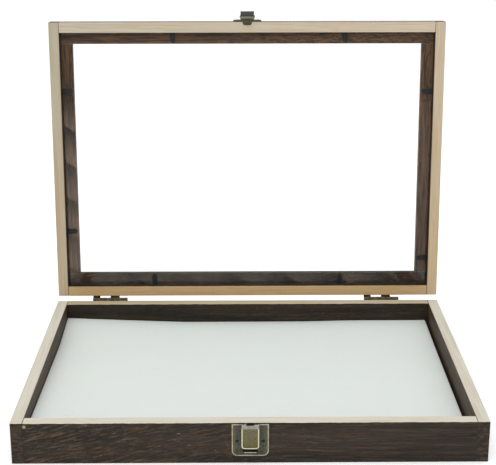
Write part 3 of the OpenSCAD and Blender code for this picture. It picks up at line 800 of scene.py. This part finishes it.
def softbox(name, location, target, size, watts):
    """A white area lamp that points at target."""
    light = bpy.data.lights.new(name, "AREA")
    light.shape = "RECTANGLE"
    light.size, light.size_y = size
    light.energy = watts
    obj = bpy.data.objects.new(name, light)
    obj.location = location
    aim = Vector(target) - Vector(location)
    obj.rotation_euler = aim.to_track_quat("-Z", "Y").to_euler()
    bpy.context.scene.collection.objects.link(obj)


HORIZON_LIGHT = 0.50
ZENITH_LIGHT = 0.98
DOME_TINT = (0.975, 0.99, 1, 1)


def world():
    """White behind the case, and a dome of softer light on it that is dimmer below."""
    scene = bpy.context.scene
    scene.world = bpy.data.worlds.new("studio")
    scene.world.use_nodes = True
    tree = scene.world.node_tree
    nodes, links = tree.nodes, tree.links
    nodes.clear()
    seen = nodes.new("ShaderNodeBackground")
    seen.inputs["Color"].default_value = (1, 1, 1, 1)
    seen.inputs["Strength"].default_value = 1.0
    lit = nodes.new("ShaderNodeBackground")
    lit.inputs["Color"].default_value = DOME_TINT
    direction = nodes.new("ShaderNodeTexCoord")
    height = nodes.new("ShaderNodeSeparateXYZ")
    level = nodes.new("ShaderNodeMapRange")
    for socket, number in zip(level.inputs[1:5], (0.0, 1.0, HORIZON_LIGHT, ZENITH_LIGHT)):
        socket.default_value = number
    links.new(direction.outputs["Generated"], height.inputs[0])
    links.new(height.outputs["Z"], level.inputs[0])
    links.new(level.outputs[0], lit.inputs["Strength"])
    path = nodes.new("ShaderNodeLightPath")
    either = nodes.new("ShaderNodeMath")
    either.operation = "MAXIMUM"
    both = nodes.new("ShaderNodeMixShader")
    output = nodes.new("ShaderNodeOutputWorld")
    links.new(path.outputs["Is Camera Ray"], either.inputs[0])
    links.new(path.outputs["Is Transmission Ray"], either.inputs[1])
    links.new(either.outputs[0], both.inputs[0])
    links.new(lit.outputs[0], both.inputs[1])
    links.new(seen.outputs[0], both.inputs[2])
    links.new(both.outputs[0], output.inputs[0])


def lights():
    """Two large soft lamps, above the case and in front of it."""
    softbox("overhead", (-0.3, 0.1, 2.2), (0, 0, 0), (2.0, 1.6), 7)
    softbox("front", (-0.3, -1.7, 1.5), (0, 0, 0.05), (2.4, 1.2), 12)


# Angles in degrees, lens and sensor in millimetres.
CAMERA_AT = (-0.0077, -0.9827, 0.4588)
CAMERA_YAW = -0.41
CAMERA_DOWN = 17.56
CAMERA_ROLL = -0.06
LENS = 87.33
SENSOR = 36


def camera():
    """The camera in front of the case, looking down on it."""
    data = bpy.data.cameras.new("camera")
    data.sensor_width = SENSOR
    data.lens = LENS
    data.clip_start = 0.05
    data.clip_end = 50
    obj = bpy.data.objects.new("camera", data)
    turn = (
        Matrix.Rotation(math.radians(CAMERA_YAW), 4, "Z")
        @ Matrix.Rotation(math.radians(90 - CAMERA_DOWN), 4, "X")
        @ Matrix.Rotation(math.radians(CAMERA_ROLL), 4, "Z")
    )
    obj.matrix_world = Matrix.Translation(CAMERA_AT) @ turn
    bpy.context.scene.collection.objects.link(obj)
    bpy.context.scene.camera = obj
    bpy.context.scene.view_settings.view_transform = "Standard"


# ------------------------------------------------------------------ putting it together

# What multiplies the bare wood's colours at each piece's low and high end.
TRAY_BACK_TONES = ((0.78, 0.70, 0.56), (0.84, 0.78, 0.67))
LID_FRONT_TONES = ((0.81, 0.76, 0.69), (0.85, 0.76, 0.67))
LID_LEFT_TONES = ((0.67, 0.63, 0.55), (0.71, 0.61, 0.49))
LID_RIGHT_TONES = ((0.83, 0.72, 0.62), (0.81, 0.67, 0.50))
LID_BACK_TONES = ((0.79, 0.585, 0.355), (0.79, 0.585, 0.355))

# How far the edges of a material's nodes are rounded.
WOOD_EDGE = 0.45 * MM
PLATE_EDGE = 0.12 * MM
RETAINER_EDGE = 0.08 * MM
GLASS_EDGE = 0.2 * MM

# Marks on the front of the tray: where, how wide and in what colour. The nail holes and the
# chip are the wood's own; the large dark patch behind the clasp is painted shade.
NAIL_HOLES = [
    (Vector((x * MM, -OUTER_Y, z * MM)), 0.5 * MM, PORE)
    for x, z in ((179.1, 12.4), (179.6, 8.8), (178.8, 5.0), (180.3, 2.7))
]
CHIP = (Vector((-176.3 * MM, -OUTER_Y, 31.8 * MM)), 1.3 * MM, srgb(150, 138, 108))
# Painted shade: a near black patch on the front wall, hidden by the clasp plate except in its
# window under the lever, stands for the shadow there.
PAINTED_SHADE_BEHIND_CLASP = (Vector((0, -OUTER_Y, 17 * MM)), 10 * MM, srgb(14, 13, 11))

dress(stained_wood("wood_tray_left", along_y=True, seed=0.31, figure=(0.9, 0.5)),
      WOOD_EDGE, "tray_left_wall")
dress(stained_wood("wood_tray_right", along_y=True, seed=1.37, figure=(0.6, 0.5),
                   marks=NAIL_HOLES),
      WOOD_EDGE, "tray_right_wall")
dress(stained_wood("wood_tray_front", seed=2.11, wander=(8, 2), figure=(1.0, 0.3),
                   flame=(1.0, 0.0), marks=[CHIP, PAINTED_SHADE_BEHIND_CLASP]),
      WOOD_EDGE, "tray_front_wall")
dress(stained_wood("wood_tray_back", seed=3.53, figure=(0.6, 0.7), tones=TRAY_BACK_TONES),
      WOOD_EDGE, "tray_back_wall")
dress(stained_wood("wood_lid_left", lid=True, along_y=True, seed=4.71, wander=(5, 5),
                   figure=(1, 1), tones=LID_LEFT_TONES, lip=0.8),
      WOOD_EDGE, "lid_left_rail")
dress(stained_wood("wood_lid_right", lid=True, along_y=True, seed=5.93, wander=(5, 5),
                   figure=(1, 1), tones=LID_RIGHT_TONES, lip=0.7),
      WOOD_EDGE, "lid_right_rail")
dress(stained_wood("wood_lid_front", lid=True, seed=6.17, wander=(5, 5), figure=(1, 1),
                   flame=(0.2, 0.9), tones=LID_FRONT_TONES, lip=0.6, coat=0.9),
      WOOD_EDGE, "lid_front_rail")
dress(stained_wood("wood_lid_back", lid=True, seed=7.39, wander=(6, 6), figure=(1, 1),
                   flame=(0.7, 0.7), tones=LID_BACK_TONES, lip=0.15),
      WOOD_EDGE, "lid_back_rail")
dress(panel_board(), WOOD_EDGE, "tray_bottom_panel")

dress(plate_brass(), PLATE_EDGE, "clasp_base_plate")
dress(lever_brass(), PLATE_EDGE, "clasp_lever")
dress(catch_brass(), PLATE_EDGE, "catch_plate")
dress(aged_brass("brass_hinge", HINGE_BROWN, HINGE_WORN), PLATE_EDGE,
      "left_hinge_tray_leaf", "right_hinge_tray_leaf",
      "left_hinge_lid_leaf", "right_hinge_lid_leaf")
dress(aged_brass("brass_small", SMALL_DARK, SMALL_PALE), PLATE_EDGE,
      "clasp_nails", "catch_nails", "hinge_tray_screws", "hinge_lid_screws",
      "clasp_lever_pin")
dress(drawn_steel(), 0, "clasp_spring", "left_hinge_pin",
      "right_hinge_pin", "tray_corner_brads", "lid_corner_brads")
dress(black_oxide(), RETAINER_EDGE, "glass_retainers")
dress(clear_glass(), GLASS_EDGE, "lid_glass")

soft_pad()
floor()
world()
lights()
camera()
